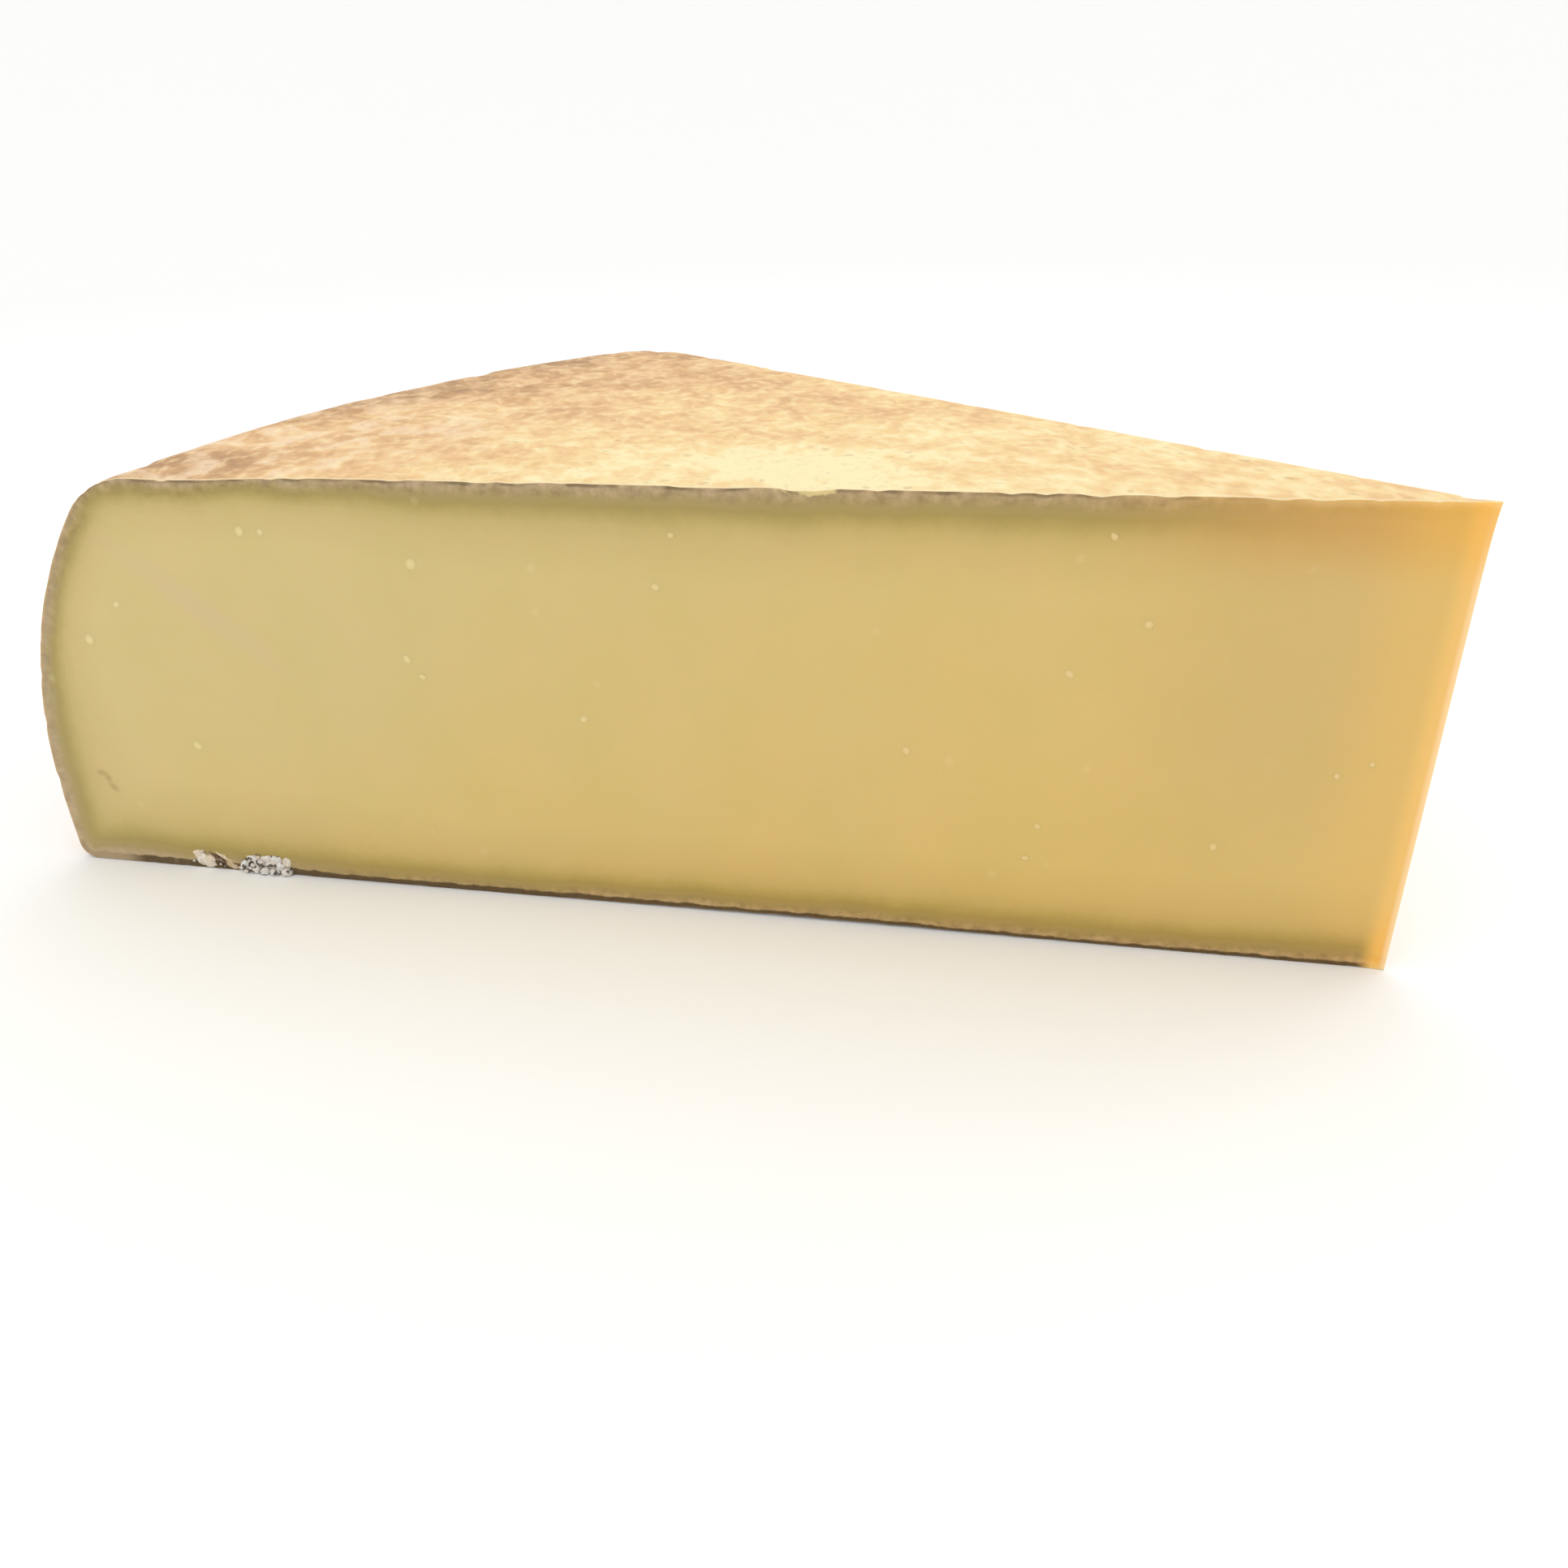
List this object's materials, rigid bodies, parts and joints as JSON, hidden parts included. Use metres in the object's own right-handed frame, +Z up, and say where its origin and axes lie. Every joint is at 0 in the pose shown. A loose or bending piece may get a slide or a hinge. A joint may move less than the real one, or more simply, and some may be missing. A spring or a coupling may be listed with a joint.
{
  "type": "cheese wedge",
  "caption": "Wedge cut from a wheel of hard mountain cheese, with a rounded rinded heel, flat rinded top and underside, and two smooth upright cut faces.",
  "frame": {"origin": "middle of the bounding box's underside, on the surface that the wedge lies on", "axes": "+X along the front cut from the heel to the thin tip, +Y from the front cut towards the back cut, +Z up"},
  "size_m": [0.315, 0.2054, 0.1],
  "materials": {
    "cheese": "smooth, semi-matte, slightly translucent straw-yellow paste under a grainy cream and tan natural rind"
  },
  "bodies": {
    "root": {"cheese_wedge": "cheese"}
  },
  "joints": []
}
